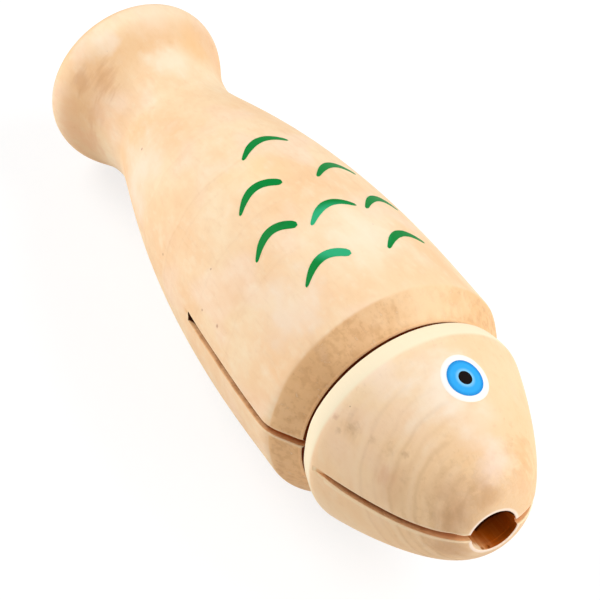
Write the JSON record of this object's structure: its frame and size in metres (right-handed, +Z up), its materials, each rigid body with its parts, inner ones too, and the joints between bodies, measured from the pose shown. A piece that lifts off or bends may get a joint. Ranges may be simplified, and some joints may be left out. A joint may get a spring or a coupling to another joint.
{
  "type": "fish-shaped wooden slit block",
  "caption": "Fish-shaped turned wooden percussion block: hollow body with a flared tail, glued-in head with a round mouth bore, and a sawn slit along each side of body and head.",
  "frame": {"origin": "middle of the object's bounding box at the level of the surface it lies on", "axes": "+X from the tail towards the mouth, +Z up through the side with the eye and scales, +Y to the fish's own side, with the sawn slits facing -Y and +Y. The fish lies on its belly and tail rim, so its own axis rises about 4.2 degrees towards the mouth."},
  "size_m": [0.1482, 0.051, 0.0523],
  "materials": {
    "body_wood": "satin",
    "head_wood": "satin",
    "green_paint": "satin",
    "white_paint": "satin",
    "blue_paint": "satin",
    "black_paint": "satin"
  },
  "bodies": {
    "root": {"body": "body_wood", "head": "head_wood"}
  },
  "joints": []
}
